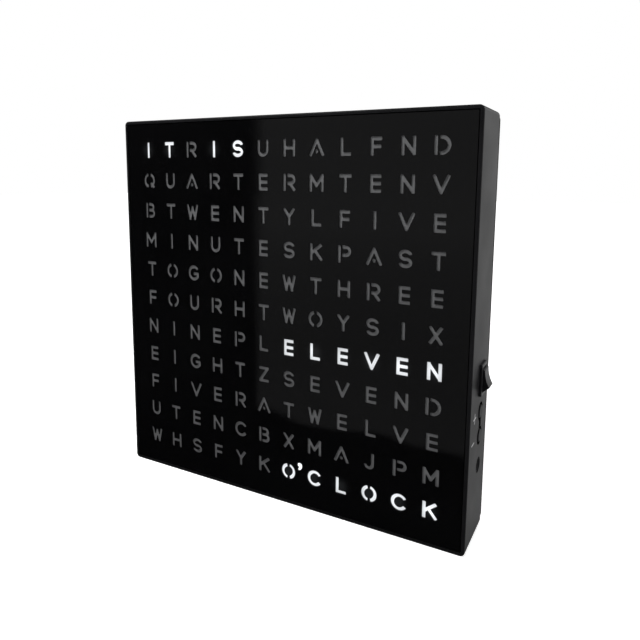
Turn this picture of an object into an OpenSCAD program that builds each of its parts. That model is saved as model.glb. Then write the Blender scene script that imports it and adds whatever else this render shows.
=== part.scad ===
// Word clock: a square tray with a stencil face that is lit from behind through a
// grid of cells, with its controls in the right-hand side wall.
// X runs to the right, Y away from the viewer and Z up. The origin is the middle of
// the underside. A value that ends in _d is a depth, measured back from the front rim.

/* [Case] */
// Width of the case
body_w = 200; // [170:5:260]
// Height of the case
body_h = 200; // [160:5:260]
// Depth from the front rim to the back
body_d = 35; // [33:1:48]
// Radius of the four long corners
corner_r = 2.3; // [2:0.1:4]
// Rounding of the front edges
edge_r = 0.8; // [0.3:0.1:1.2]
// Thickness of the side walls
wall = 2; // [1.8:0.1:3]

/* [Face] */
// Width of the rim around the face panel
rim_w = 1.7; // [1.2:0.1:1.8]
// Gap between the rim and the panel
panel_gap = 0.35; // [0.1:0.05:0.6]
// Thickness of the stencil sheet
panel_t = 0.6; // [0.4:0.1:2]
// How far the panel lies behind the rim
panel_recess = 0.3; // [0:0.1:1]
// Width of the ledge behind the panel's edge
ledge_w = 2.2; // [1.5:0.1:3]
// Cells across the face
columns = 12; // [8:1:14]
// Cells down the face
rows = 11; // [8:1:13]
// Middle of the first column from the side of the case
margin_x = 16.95; // [15:0.5:20]
// Middle of the first row from the top of the case
margin_z = 16.5; // [15:0.5:20]
// Width of the light slot in each cell
slot_w = 1.6; // [1:0.1:2.4]
// Height of the light slot in each cell
slot_h = 8.4; // [5:0.2:9]

/* [Light engine] */
// Thickness of the diffuser sheet
diffuser_t = 1.9; // [1:0.1:3]
// Thickness of the flange round the cell grid
flange_t = 1; // [0.8:0.1:1.5]
// Depth of the cell grid
baffle_depth = 8.6; // [7:0.2:11]
// Thickness of the cell walls
cell_wall = 1.2; // [0.8:0.1:1.6]
// Thickness of the circuit boards
board_t = 1.6; // [1:0.1:2]
// Width of an LED
led_w = 3.5; // [2.8:0.1:5]
// Height of an LED
led_h = 2.8; // [2:0.1:5]
// Thickness of an LED
led_t = 1.9; // [0.8:0.1:2]

/* [Controls] */
// Height of the rocker switch above the underside
switch_z = 78.6; // [76:0.2:100]
// Height of the plus button
plus_z = 62.6; // [62:0.2:64]
// Height of the minus button
minus_z = 50.8; // [49:0.2:51]
// Height of the power socket
jack_z = 36.1; // [33:0.1:37]
// Height of the controls' axes above the board
control_rise = 6.5; // [6.5:0.1:8]
// Radius of the button caps
cap_r = 3; // [2.4:0.1:3.2]
// How far the caps stand proud
cap_proud = 0.4; // [0.2:0.1:1.5]
// Gap around the caps
cap_gap = 1.5; // [0.8:0.1:1.6]
// Travel of the buttons
button_travel = 0.5; // [0.2:0.1:0.6]
// Width of the slot that joins the two button holes
link_slot_w = 4; // [2:0.2:5]
// Radius of the socket's centre pin
jack_pin_r = 1.05; // [0.8:0.05:1.25]
// Radius of the socket's bore
jack_bore_r = 3.15; // [2.8:0.05:3.3]

/* [Rocker switch] */
// Height of the switch's bezel
bezel_h = 15; // [14.6:0.1:17]
// Width of the switch's bezel
bezel_w = 10.5; // [10:0.1:12]
// Thickness of the bezel in front of the wall
bezel_t = 1.2; // [0.8:0.1:2]
// Height of the switch body behind the wall
switch_h = 13.2; // [13:0.1:13.8]
// Width of the switch body
switch_w = 8.7; // [8.5:0.1:9]
// Depth of the switch body behind the wall's outer face
switch_depth = 12.4; // [12:0.1:15]
// Tilt of the rocker to each side
rocker_tilt = 15; // [8:1:16]
// Width of the rocker
rocker_w = 7.3; // [6.8:0.1:7.3]

/* [Back] */
// Depth of the rear cover's edge band
band = 4; // [3.5:0.1:6]
// Corner radius of the rear cover
cover_r = 3.8; // [3:0.1:6]
// How far the cover stands inside the case's outline
cover_inset = 0.25; // [0:0.05:0.5]
// Thickness of the cover's plate
cover_t = 2; // [1.6:0.1:3]
// Rounding of the cover's rear edges
cover_edge_r = 1.2; // [0.5:0.1:1.8]
// Distance between the two keyholes
keyhole_span = 110; // [80:5:140]
// Radius of a keyhole's entry
keyhole_r = 4.5; // [4:0.1:5.5]
// Half width of a keyhole's neck
neck_r = 2.25; // [2:0.05:2.5]
// Length of a keyhole's neck
neck_l = 9; // [7:0.5:12]

/* [Fits] */
// Clearance between fixed pieces
fit = 0.2; // [0.1:0.05:0.3]
// Radial clearance of a pivot
running = 0.05; // [0.02:0.01:0.08]

/* [Hidden] */
$fn = 64;

case_black = "#232427";
face_black = "#0c0c0e";
board_green = "#1f5a3a";
part_black = "#1a1a1c";
metal = "#c9c9c4";
brass_tone = "#c9a64b";

side_x = body_w / 2;
wall_x = side_x - wall;
mid_z = body_h / 2;
inner_r = max(corner_r - wall, 0.3);

// Face stack, front to back
pocket_w = body_w - 2 * rim_w;
pocket_h = body_h - 2 * rim_w;
pocket_r = max(corner_r - rim_w, 0.5);
panel_w = pocket_w - 2 * panel_gap;
panel_h = pocket_h - 2 * panel_gap;
panel_r = max(pocket_r - panel_gap, 0.2);
panel_back_d = panel_recess + panel_t;
ledge_back_d = panel_back_d + diffuser_t + flange_t;
window_w = panel_w - 2 * ledge_w;
window_h = panel_h - 2 * ledge_w;
window_r = 1;
diffuser_back_d = panel_back_d + diffuser_t;
board_front_d = diffuser_back_d + baffle_depth;
board_back_d = board_front_d + board_t;
side_d = board_back_d + control_rise;
cover_d = body_d - band;
plate_d = body_d - cover_t;

// Fastening along the walls
screw_r = 1.2;
screw_head_r = 2.3;
screw_head_t = 1.6;
screw_reach = 6.5;
boss_r = 2.7;
boss_gap = 0.5;
board_edge = 0.5;
boss_inset = 2.9;
boss_end = 25;
boss_x = wall_x - board_edge - boss_inset;
boss_z = boss_x - side_x + body_h;
boss_far_x = side_x - boss_end;
boss_far_z = body_h - boss_end;
post_r = 4;
post_sink = 0.3;
post_x = wall_x - post_r + post_sink;
post_z = post_x - side_x + body_h;
post_back_d = cover_d - 1.4;
rear_screw_r = 1.4;
rear_screw_l = 12;
rear_head_r = 2.7;
rear_head_t = 1.8;
head_seat_d = plate_d - 0.8;
cover_boss_r = post_r - post_sink - fit;

// Cell grid
col_pitch = (body_w - 2 * margin_x) / (columns - 1);
row_pitch = (body_h - 2 * margin_z) / (rows - 1);
baffle_x = boss_x - boss_r - boss_gap;
baffle_z = boss_z - boss_r - boss_gap;
peg_r = 1;
peg_post_r = 1.5;

function dy(d) = d - body_d / 2;
function col_x(i) = (i - (columns - 1) / 2) * col_pitch;
function row_z(j) = mid_z + (j - (rows - 1) / 2) * row_pitch;

// Switch, measured outwards from the wall's outer face and from the pivot
pivot_u = -0.3;
ridge_reach = 3.6;
ridge_half = 4.09;
valley_sag = 0.6;
valley_r = (pow(ridge_half, 2) + pow(valley_sag, 2)) / (2 * valley_sag);
trunnion_r = 1;
stem_r = 1.9;
stem_bore_r = 1.3;
stem_end = 5.4;
plunger_tip = 7.7;
cavity_h = 12;
switch_floor = 1.4;
floor_u = -switch_depth + switch_floor;
contact_u = pivot_u - 8.6;
contact_tilt = 10;
contact_w = 3;
contact_l = 4.6;
contact_t = 0.5;
contact_pin_r = 0.5;
contact_seat_u = contact_u + 0.2;
terminal_w = 2.8;
terminal_t = 0.5;
terminal_out = 6.6;
load_w = -4;
tail_u = -switch_depth - terminal_out;

// Buttons, their small board and the socket
cap_flange_r = cap_r + cap_gap + 0.6;
cap_flange_t = 0.9;
cap_slack = 0.1;
cap_stem_r = 1.7;
cap_stem_l = 2;
cap_edge_r = 0.4;
flange_x = wall_x - cap_slack - cap_flange_t;
tact_tip_x = flange_x - cap_stem_l;
tact_out = 1.5;
tact_side = 6;
tact_t = 3.5;
tact_x = tact_tip_x - tact_out - tact_t;
tact_r = 1.75;
tact_flange_r = 2.2;
tact_flange_t = 0.6;
card_z0 = minus_z - 6.5;
card_z1 = plus_z + 6.5;
lip_deep = 2.5;
card_deep = min(13.5, cover_d - lip_deep - 1.2 - board_back_d);
guide_t = 1.2;
guide_bite = 0.8;
collar_t = 0.8;
collar_deep = cap_slack + cap_flange_t + button_travel + 0.5;
jack_l = 14.4;
jack_w = 9;
jack_nose_r = 3.45;
jack_hole_r = 3.7;
jack_face_x = wall_x - cap_slack;
jack_nose_x = side_x - 0.4;
jack_bore_l = 11;
jack_floor_x = jack_nose_x - jack_bore_l;

// Outlines and solids that several pieces share

module rounded(w, h, r) {
    union() {
        square([w - 2 * r, h], center = true);
        square([w, h - 2 * r], center = true);
        for (i = [-1, 1], j = [-1, 1])
            translate([i * (w / 2 - r), j * (h / 2 - r)]) circle(r);
    }
}

// Quarter disc in the first quadrant
module quarter(r) {
    intersection() {
        circle(r);
        square(r);
    }
}

// Plate on z = 0, centred, with its upper edges rounded
module soft_plate(w, h, t, r, e) {
    union() {
        linear_extrude(t - e) rounded(w, h, r);
        translate([0, 0, t - e]) linear_extrude(e) rounded(w - 2 * e, h - 2 * e, r - e);
        for (s = [0:3]) {
            a = s % 2 == 0 ? w / 2 : h / 2;
            b = s % 2 == 0 ? h / 2 : w / 2;
            rotate(90 * s) {
                translate([a - e, b - r, t - e])
                    rotate([90, 0, 0]) linear_extrude(2 * (b - r)) quarter(e);
                translate([a - r, b - r, t - e])
                    rotate_extrude(angle = 90) translate([r - e, 0]) quarter(e);
            }
        }
    }
}

// Rounded rectangle about the middle of the face, between two depths
module slab(w, h, r, d0, d1) {
    translate([0, dy(d1), mid_z]) rotate([90, 0, 0]) linear_extrude(d1 - d0) rounded(w, h, r);
}

module block(x0, x1, d0, d1, z0, z1) {
    translate([x0, dy(d0), z0]) cube([x1 - x0, d1 - d0, z1 - z0]);
}

// Rod along the depth, at one place on the face
module rod(x, z, r, d0, d1) {
    translate([x, dy(d0), z]) rotate([-90, 0, 0]) cylinder(r = r, h = d1 - d0);
}

// Rod along X on the axis of the side controls
module side_rod(z, r, x0, x1) {
    translate([x0, dy(side_d), z]) rotate([0, 90, 0]) cylinder(r = r, h = x1 - x0);
}

// Profile drawn in X and Z, given a width along Y
module across(width) {
    rotate([90, 0, 0]) translate([0, 0, -width / 2]) linear_extrude(width) children();
}

module at_switch() {
    translate([side_x, dy(side_d), switch_z]) children();
}

// Something that stands on the back of the LED board
module on_board(x, z) {
    translate([x, dy(board_back_d), z]) rotate([-90, 0, 0]) children();
}

module at_corners(x, z) {
    for (i = [-1, 1], j = [-1, 1]) translate([i * x, 0, mid_z + j * (z - mid_z)]) children();
}

module rod_at(r, d0, d1) {
    translate([0, dy(d0), 0]) rotate([-90, 0, 0]) cylinder(r = r, h = d1 - d0);
}

// Places of the eight board screws
module at_bosses() {
    at_corners(boss_x, boss_far_z) children();
    at_corners(boss_far_x, boss_z) children();
}

// Case

module housing_block() {
    translate([0, dy(cover_d), mid_z]) rotate([90, 0, 0])
        soft_plate(body_w, body_h, cover_d, corner_r, edge_r);
}

module boss_webs() {
    for (i = [-1, 1], j = [-1, 1]) {
        mirror([i < 0 ? 1 : 0, 0, 0])
            block(boss_x, wall_x + post_sink, ledge_back_d, board_front_d,
                mid_z + j * (boss_far_z - mid_z) - boss_r * 0.7,
                mid_z + j * (boss_far_z - mid_z) + boss_r * 0.7);
        translate([0, 0, mid_z]) mirror([0, 0, j < 0 ? 1 : 0]) translate([0, 0, -mid_z])
            block(i * boss_far_x - boss_r * 0.7, i * boss_far_x + boss_r * 0.7,
                ledge_back_d, board_front_d, boss_z, body_h - wall + post_sink);
    }
}

// Grooved ribs that hold the small button board by its ends
module card_guides() {
    x0 = tact_x - board_t - guide_t;
    for (end = [0, 1]) {
        z_in = end == 0 ? card_z0 + guide_bite : card_z1 - guide_bite;
        z_out = end == 0 ? card_z0 - fit - guide_t : card_z1 + fit + guide_t;
        difference() {
            block(x0, wall_x + post_sink, board_back_d + 1, board_back_d + card_deep + 1,
                min(z_in, z_out), max(z_in, z_out));
            block(tact_x - board_t - fit / 2, tact_x + fit / 2, board_back_d, cover_d,
                card_z0 - fit, card_z1 + fit);
        }
    }
}

// Collars on the inside of the wall that guide the flanges of the two caps
module button_collars() {
    difference() {
        for (z = [plus_z, minus_z])
            side_rod(z, cap_flange_r + fit + collar_t, wall_x - collar_deep, wall_x + post_sink);
        for (z = [plus_z, minus_z])
            side_rod(z, cap_flange_r + fit, wall_x - collar_deep - 1, wall_x + 1);
    }
}

module side_openings() {
    at_switch() translate([-wall - 1, -switch_w / 2 - fit / 2, -switch_h / 2 - fit])
        cube([wall + 2, switch_w + fit, switch_h + 2 * fit]);
    for (z = [plus_z, minus_z]) side_rod(z, cap_r + cap_gap, wall_x - 1, side_x + 1);
    block(wall_x - 1, side_x + 1, side_d - link_slot_w / 2, side_d + link_slot_w / 2,
        minus_z, plus_z);
    side_rod(jack_z, jack_hole_r, wall_x - 1, side_x + 1);
}

module housing() {
    color(case_black) difference() {
        union() {
            difference() {
                housing_block();
                slab(pocket_w, pocket_h, pocket_r, -1, panel_back_d);
                slab(window_w, window_h, window_r, -1, ledge_back_d + 1);
                slab(body_w - 2 * wall, body_h - 2 * wall, inner_r, ledge_back_d, cover_d + 1);
            }
            at_corners(post_x, post_z) rod_at(post_r, ledge_back_d, post_back_d);
            at_bosses() rod_at(boss_r, ledge_back_d, board_front_d);
            boss_webs();
            card_guides();
            button_collars();
        }
        at_corners(post_x, post_z)
            rod_at(rear_screw_r + running, head_seat_d - rear_screw_l - 1, cover_d);
        at_bosses() rod_at(screw_r + running, board_back_d - screw_reach - 1, board_back_d);
        side_openings();
    }
}

module light_slot() {
    union() {
        square([slot_w, slot_h - slot_w], center = true);
        for (s = [-1, 1]) translate([0, s * (slot_h - slot_w) / 2]) circle(slot_w / 2);
    }
}

module front_panel() {
    color(face_black)
        translate([0, dy(panel_back_d), mid_z]) rotate([90, 0, 0]) linear_extrude(panel_t)
            difference() {
                rounded(panel_w, panel_h, panel_r);
                for (i = [0:columns - 1], j = [0:rows - 1])
                    translate([col_x(i), row_z(j) - mid_z]) light_slot();
            }
}

module diffuser_sheet() {
    color("#d9d9d6")
        slab(window_w - 2 * fit, window_h - 2 * fit, window_r, panel_back_d, diffuser_back_d);
}

// Light engine

// The free space of one cell, from wall to wall
module cell_window(i, j) {
    x0 = i == 0 ? -baffle_x + cell_wall : (col_x(i - 1) + col_x(i) + cell_wall) / 2;
    x1 = i == columns - 1 ? baffle_x - cell_wall : (col_x(i) + col_x(i + 1) - cell_wall) / 2;
    low = body_h - baffle_z;
    z0 = j == 0 ? low + cell_wall : (row_z(j - 1) + row_z(j) + cell_wall) / 2;
    z1 = j == rows - 1 ? baffle_z - cell_wall : (row_z(j) + row_z(j + 1) - cell_wall) / 2;
    translate([x0, z0 - mid_z]) square([x1 - x0, z1 - z0]);
}

module at_pegs() {
    for (i = [-1, 1], j = [-1, 1])
        translate([i * (columns / 2 - 2) * col_pitch, 0, mid_z + j * (rows / 2 - 2) * row_pitch])
            children();
}

module light_baffle() {
    color("#e8e8e4") union() {
        difference() {
            union() {
                slab(2 * baffle_x, 2 * (baffle_z - mid_z), window_r, diffuser_back_d, board_front_d);
                slab(window_w - 2 * fit, window_h - 2 * fit, window_r, diffuser_back_d,
                    diffuser_back_d + flange_t);
            }
            translate([0, dy(board_front_d + 1), mid_z]) rotate([90, 0, 0])
                linear_extrude(baffle_depth + 2)
                    for (i = [0:columns - 1], j = [0:rows - 1]) cell_window(i, j);
        }
        at_pegs() rod_at(peg_post_r, diffuser_back_d, board_front_d);
        at_pegs() rod_at(peg_r, diffuser_back_d, board_back_d);
    }
}

module led_board() {
    color(board_green) difference() {
        slab(2 * (wall_x - board_edge), body_h - 2 * wall - 2 * board_edge, 1,
            board_front_d, board_back_d);
        at_corners(post_x, post_z) rod_at(post_r + boss_gap, board_front_d - 1, board_back_d + 1);
        at_bosses() rod_at(screw_r + fit, board_front_d - 1, board_back_d + 1);
        at_pegs() rod_at(peg_r + fit / 2, board_front_d - 1, board_back_d + 1);
    }
}

module board_screws() {
    color(metal) at_bosses() union() {
        rod_at(screw_head_r, board_back_d, board_back_d + screw_head_t);
        rod_at(screw_r, board_back_d - screw_reach, board_back_d + 0.5);
    }
}

lens_r = 1.15;
lens_t = 0.5;

module led_packages() {
    color("#f2f0ea") for (i = [0:columns - 1], j = [0:rows - 1]) difference() {
        block(col_x(i) - led_w / 2, col_x(i) + led_w / 2, board_front_d - led_t, board_front_d,
            row_z(j) - led_h / 2, row_z(j) + led_h / 2);
        rod(col_x(i), row_z(j), lens_r + 0.03, board_front_d - led_t - 1,
            board_front_d - led_t + lens_t);
    }
}

module led_lenses() {
    color("#ecd873") for (i = [0:columns - 1], j = [0:rows - 1])
        rod(col_x(i), row_z(j), lens_r, board_front_d - led_t, board_front_d - led_t + lens_t);
}

// Chips and other parts on the back of the board

lead_w = 0.35;
lead_out = 1;
lead_t = 0.2;

// Row of gull-wing leads along one side of a chip
module lead_row(n, pitch, reach, foot_h) {
    for (k = [0:n - 1]) translate([(k - (n - 1) / 2) * pitch - lead_w / 2, reach, 0]) {
        cube([lead_w, lead_out, lead_t]);
        cube([lead_w, lead_t, foot_h]);
        translate([0, -0.4, foot_h - lead_t]) cube([lead_w, 0.5, lead_t]);
    }
}

// Chip body with leads on two or four sides
module chip(l, w, h, n, pitch, four_sided = false) {
    union() {
        translate([-l / 2, -w / 2, 0.1]) cube([l, w, h - 0.1]);
        for (a = four_sided ? [0, 90, 180, 270] : [0, 180])
            rotate(a) lead_row(n, pitch, w / 2 + 0.3, h * 0.55);
    }
}

module microcontroller() {
    color(part_black) on_board(10, mid_z + 10) chip(7, 7, 1.4, 8, 0.8, true);
}

module led_drivers() {
    color(part_black) for (s = [-1, 1])
        on_board(-35, mid_z + 40 * s) rotate(90) chip(15.4, 7.5, 2.3, 12, 1.27);
}

module clock_chip() {
    color(part_black) on_board(10, mid_z - 30) chip(10.3, 7.5, 2.3, 8, 1.27);
}

module clock_crystal() {
    r = 1.5;
    l = 8;
    color(metal) on_board(22, mid_z - 30) union() {
        translate([0, -l / 2, r + 0.1]) rotate([-90, 0, 0]) cylinder(r = r, h = l);
        for (s = [-1, 1]) translate([s * 0.5 - 0.15, l / 2, 0]) {
            cube([0.3, 2, 0.3]);
            cube([0.3, 0.3, r + 0.4]);
        }
    }
}

resistor_l = 1.6;
resistor_w = 0.8;
resistor_t = 0.5;

module chip_resistors() {
    color(part_black) {
        for (i = [0:columns - 1])
            on_board((i - (columns - 1) / 2) * 6, mid_z - 60)
                translate([-resistor_w / 2, -resistor_l / 2, 0])
                    cube([resistor_w, resistor_l, resistor_t]);
        for (j = [0:rows - 1])
            on_board(-60, mid_z + (j - (rows - 1) / 2) * 6)
                translate([-resistor_l / 2, -resistor_w / 2, 0])
                    cube([resistor_l, resistor_w, resistor_t]);
    }
}

module voltage_regulator() {
    color(part_black) on_board(wall_x - 46, jack_z) union() {
        chip(6.5, 3.5, 1.6, 3, 2.3);
        translate([-1.5, -4.2, 0.05]) cube([3, 3, 0.25]);
    }
}

capacitor_r = 3.15;
capacitor_l = 7.7;

module smoothing_capacitors() {
    color("#3a3c40") for (s = [-1, 1]) on_board(wall_x - 24, jack_z + 9 * s) union() {
        translate([-3.3, -3.3, 0]) cube([6.6, 6.6, 0.8]);
        cylinder(r = capacitor_r, h = capacitor_l - 0.3);
        translate([0, 0, capacitor_l - 0.3])
            cylinder(r1 = capacitor_r, r2 = capacitor_r - 0.3, h = 0.3);
    }
}

cell_x = -2;
cell_z = mid_z + 50;
cell_r = 10;
cell_t = 3.2;
holder_floor = 1.2;
holder_wall = 1.2;

module coin_cell_holder() {
    r = cell_r + fit + holder_wall;
    color(part_black) on_board(cell_x, cell_z) difference() {
        union() {
            cylinder(r = r, h = holder_floor + cell_t);
            translate([-r - 1.5, -4, 0]) cube([2 * r + 3, 8, holder_floor + cell_t - 0.6]);
        }
        translate([0, 0, holder_floor]) cylinder(r = cell_r + fit, h = cell_t + 1);
        translate([-5, -r - 1, holder_floor]) cube([10, 8, cell_t + 1]);
    }
}

module coin_cell() {
    color(metal) on_board(cell_x, cell_z) translate([0, 0, holder_floor]) union() {
        cylinder(r = cell_r - 1, h = cell_t);
        translate([0, 0, 0.3]) cylinder(r = cell_r, h = cell_t - 0.3);
    }
}

module coin_cell_clip() {
    top = holder_floor + cell_t;
    r = cell_r + fit + holder_wall;
    t = 0.4;
    color(metal) on_board(cell_x, cell_z) union() {
        translate([-r - 1.5 - t, -2, top]) cube([2 * (r + 1.5 + t), 4, t]);
        for (s = [-1, 1]) translate([s * (r + 1.5 + t / 2) - t / 2, -2, 0]) cube([t, 4, top + t]);
    }
}

// Rocker switch

module switch_body() {
    color(part_black) at_switch() difference() {
        union() {
            rotate([0, 90, 0]) soft_plate(bezel_h, bezel_w, bezel_t, 1, 0.5);
            translate([-switch_depth, -switch_w / 2, -switch_h / 2])
                cube([switch_depth + 0.2, switch_w, switch_h]);
            for (s = [0, 1]) mirror([0, 0, s]) across(3.4)
                polygon([[-wall - fit, switch_h / 2 - 0.2], [-wall - fit, switch_h / 2 + 0.7],
                    [-9, switch_h / 2], [-9, switch_h / 2 - 0.2]]);
        }
        translate([floor_u, -rocker_w / 2 - 0.1, -cavity_h / 2])
            cube([switch_depth + 5, rocker_w + 0.2, cavity_h]);
        translate([pivot_u, 0, 0]) rotate([90, 0, 0])
            cylinder(r = trunnion_r + running, h = switch_w + 0.1, center = true);
        for (w = [0, load_w])
            translate([-switch_depth - 1, -terminal_w / 2 - 0.1, w - terminal_t / 2 - 0.1])
                cube([switch_floor + 2, terminal_w + 0.2, terminal_t + 0.2]);
    }
    // Rest for the idle end of the contact
    color(part_black) at_switch() translate([floor_u, -terminal_w / 2, -load_w - 0.6])
        cube([contact_seat_u - floor_u, terminal_w, 1.2]);
}

// Paddle in its middle position, with its pivot at the origin
module rocker_paddle() {
    difference() {
        union() {
            across(rocker_w) difference() {
                polygon([[ridge_reach, -ridge_half], [ridge_reach, ridge_half], [0, 5.85],
                    [-2.2, 5.2], [-2.2, -5.2], [0, -5.85]]);
                translate([ridge_reach - valley_sag + valley_r, 0]) circle(valley_r, $fn = 180);
            }
            rotate([90, 0, 0]) cylinder(r = trunnion_r, h = switch_w - 0.1, center = true);
            translate([-stem_end, 0, 0]) rotate([0, 90, 0]) cylinder(r = stem_r, h = stem_end - 2);
        }
        translate([-stem_end - 1, 0, 0]) rotate([0, 90, 0])
            cylinder(r = stem_bore_r, h = stem_end + 0.1);
    }
}

module in_rocker() {
    at_switch() translate([pivot_u, 0, 0]) rotate([0, -rocker_tilt, 0]) children();
}

module switch_rocker() {
    color(part_black) in_rocker() rocker_paddle();
}

spring_top = -0.95;
plunger_top = -3.4;
plunger_r = 1.2;

module switch_plunger() {
    color("#e9e4d6") in_rocker() union() {
        translate([-plunger_tip + plunger_r, 0, 0]) rotate([0, 90, 0])
            cylinder(r = plunger_r, h = plunger_tip - plunger_r + plunger_top);
        translate([-plunger_tip + plunger_r, 0, 0]) sphere(plunger_r);
    }
}

// Coil spring along -X, swept as one unbroken tube
spring_wire_r = 0.15;
spring_r = 0.9;
spring_turns = 5;
spring_rings = 12;
spring_sides = 6;
spring_l = spring_top - plunger_top - 2 * spring_wire_r - 0.1;

function coil_point(t) = [
    spring_top - spring_wire_r - 0.05 - spring_l * t / spring_turns,
    spring_r * cos(360 * t), spring_r * sin(360 * t)];
function coil_ring(t) = [for (k = [0:spring_sides - 1])
    let (a = 360 * k / spring_sides, out = [0, cos(360 * t), sin(360 * t)])
    coil_point(t) + spring_wire_r * (cos(a) * out + sin(a) * [-1, 0, 0])];

module switch_spring() {
    n = spring_turns * spring_rings;
    points = [for (i = [0:n]) each coil_ring(i / spring_rings)];
    sides = [for (i = [0:n - 1], k = [0:spring_sides - 1])
        let (a = i * spring_sides + k, b = i * spring_sides + (k + 1) % spring_sides)
        each [[a, b, a + spring_sides], [b, b + spring_sides, a + spring_sides]]];
    caps = [for (k = [1:spring_sides - 2])
        each [[0, k + 1, k], [n * spring_sides, n * spring_sides + k, n * spring_sides + k + 1]]];
    color(metal) in_rocker() polyhedron(points, concat(sides, caps));
}

// See-saw contact, tipped so that its lower wing lies on the load terminal
module switch_contact() {
    color(brass_tone) at_switch() translate([contact_u, 0, 0]) rotate([0, contact_tilt, 0]) union() {
        for (s = [0, 1]) mirror([0, 0, s]) translate([0.25, 0, 0]) rotate([0, contact_tilt, 0])
            translate([0, -contact_w / 2, -0.06]) cube([contact_t, contact_w, contact_l + 0.06]);
        rotate([90, 0, 0]) cylinder(r = contact_pin_r, h = contact_w + 1.4, center = true);
    }
}

module blade(w) {
    difference() {
        translate([tail_u, -terminal_w / 2, w - terminal_t / 2])
            cube([floor_u - tail_u + 0.2, terminal_w, terminal_t]);
        translate([tail_u + 1.5, 0, w]) cylinder(r = 0.6, h = 3, center = true);
    }
}

module switch_common_terminal() {
    ear_in = contact_w / 2 + fit;
    ear_t = 0.4;
    color(brass_tone) at_switch() difference() {
        union() {
            blade(0);
            translate([floor_u, -ear_in - ear_t, -1.2]) cube([0.4, 2 * (ear_in + ear_t), 2.4]);
            for (s = [0, 1]) mirror([0, s, 0]) translate([floor_u, ear_in, -1.2])
                cube([contact_u + 0.8 - floor_u, ear_t, 2.4]);
        }
        translate([contact_u, 0, 0]) rotate([90, 0, 0])
            cylinder(r = contact_pin_r + running, h = 2 * (ear_in + ear_t) + 1, center = true);
    }
}

module switch_load_terminal() {
    color(brass_tone) at_switch() union() {
        blade(load_w);
        translate([floor_u, -terminal_w / 2, load_w - terminal_t / 2])
            cube([contact_seat_u - floor_u, terminal_w, terminal_t]);
        translate([contact_seat_u - 0.4, -terminal_w / 2, load_w - 0.7])
            cube([0.4, terminal_w, 1.4]);
    }
}

// Each wire runs inwards from its blade, arches to the rear and drops into the plug
wire_r = 0.65;
wire_run = 2;
bend_in = 2.5;
bend_over = 3;
plug_w = 3.8;
plug_top_d = side_d + bend_in - 1;
plug_seat_d = board_back_d + 2;
plug_x = side_x + tail_u - wire_run - bend_in - 2 * bend_over;

module bend(r, a) {
    rotate_extrude(angle = a) translate([r, 0]) circle(wire_r);
}

module switch_wires() {
    color("#b03028") for (w = [0, load_w]) translate([side_x + tail_u, dy(side_d), switch_z + w])
        union() {
            translate([-wire_run, 0, 0]) rotate([0, 90, 0]) cylinder(r = wire_r, h = wire_run);
            translate([-wire_run, bend_in, 0]) rotate(180) bend(bend_in, 90);
            translate([-wire_run - bend_in - bend_over, bend_in, 0]) bend(bend_over, 180);
            translate([-wire_run - bend_in - 2 * bend_over, bend_in - 1, 0]) rotate([-90, 0, 0])
                cylinder(r = wire_r, h = 1);
        }
}

module switch_plug() {
    color("#e6e2d8") block(plug_x - plug_w / 2, plug_x + plug_w / 2, plug_seat_d, plug_top_d,
        switch_z + load_w - 2.4, switch_z + 2.4);
}

module switch_header() {
    color("#dcd8cc") difference() {
        block(plug_x - plug_w / 2 - 1, plug_x + plug_w / 2 + 1, board_back_d, plug_seat_d + 2.5,
            switch_z + load_w - 3.4, switch_z + 3.4);
        block(plug_x - plug_w / 2 - 0.1, plug_x + plug_w / 2 + 0.1, plug_seat_d, cover_d,
            switch_z + load_w - 2.5, switch_z + 2.5);
    }
}

// Buttons

module button_board() {
    color(board_green) block(tact_x - board_t, tact_x, board_back_d, board_back_d + card_deep,
        card_z0, card_z1);
}

header_pitch = 2.54;
header_pins = 4;

module button_header() {
    mid = (card_z0 + card_z1) / 2;
    x1 = tact_x - board_t;
    color(part_black) union() {
        block(x1 - 2.5, x1, board_back_d + 0.4, board_back_d + 2.9,
            mid - header_pins * header_pitch / 2, mid + header_pins * header_pitch / 2);
        for (k = [0:header_pins - 1]) {
            z = mid + (k - (header_pins - 1) / 2) * header_pitch;
            block(x1 - 5, x1 - 2.4, board_back_d + 1.4, board_back_d + 2, z - 0.3, z + 0.3);
            block(x1 - 5, x1 - 4.4, board_back_d, board_back_d + 2, z - 0.3, z + 0.3);
        }
    }
}

module tact_switches() {
    chamber_t = tact_flange_t + button_travel + 0.4;
    lid_t = 0.5;
    color(part_black) for (z = [plus_z, minus_z]) difference() {
        block(tact_x, tact_x + tact_t, side_d - tact_side / 2, side_d + tact_side / 2,
            z - tact_side / 2, z + tact_side / 2);
        side_rod(z, tact_r + running, tact_x + tact_t - 1, tact_x + tact_t + 1);
        side_rod(z, tact_flange_r + 0.2, tact_x + tact_t - lid_t - chamber_t,
            tact_x + tact_t - lid_t);
    }
}

module tact_plunger(z) {
    lid_t = 0.5;
    top = tact_x + tact_t - lid_t - 0.1;
    color("#d8d3c4") union() {
        side_rod(z, tact_r, top - tact_flange_t, tact_tip_x);
        side_rod(z, tact_flange_r, top - tact_flange_t, top);
    }
}

module tact_plunger_plus() { tact_plunger(plus_z); }

module tact_plunger_minus() { tact_plunger(minus_z); }

// Cap, retaining flange and stem turned about the button's axis
module button_cap(z) {
    x0 = tact_tip_x;
    top = side_x + cap_proud - x0;
    color(case_black) translate([x0, dy(side_d), z]) rotate([0, 90, 0]) rotate_extrude() union() {
        square([cap_stem_r, cap_stem_l + 0.1]);
        translate([0, cap_stem_l]) square([cap_flange_r, cap_flange_t]);
        translate([0, cap_stem_l]) square([cap_r, top - cap_stem_l - cap_edge_r]);
        translate([0, top - cap_edge_r]) square([cap_r - cap_edge_r, cap_edge_r]);
        translate([cap_r - cap_edge_r, top - cap_edge_r]) quarter(cap_edge_r);
    }
}

module plus_button() { button_cap(plus_z); }

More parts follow.
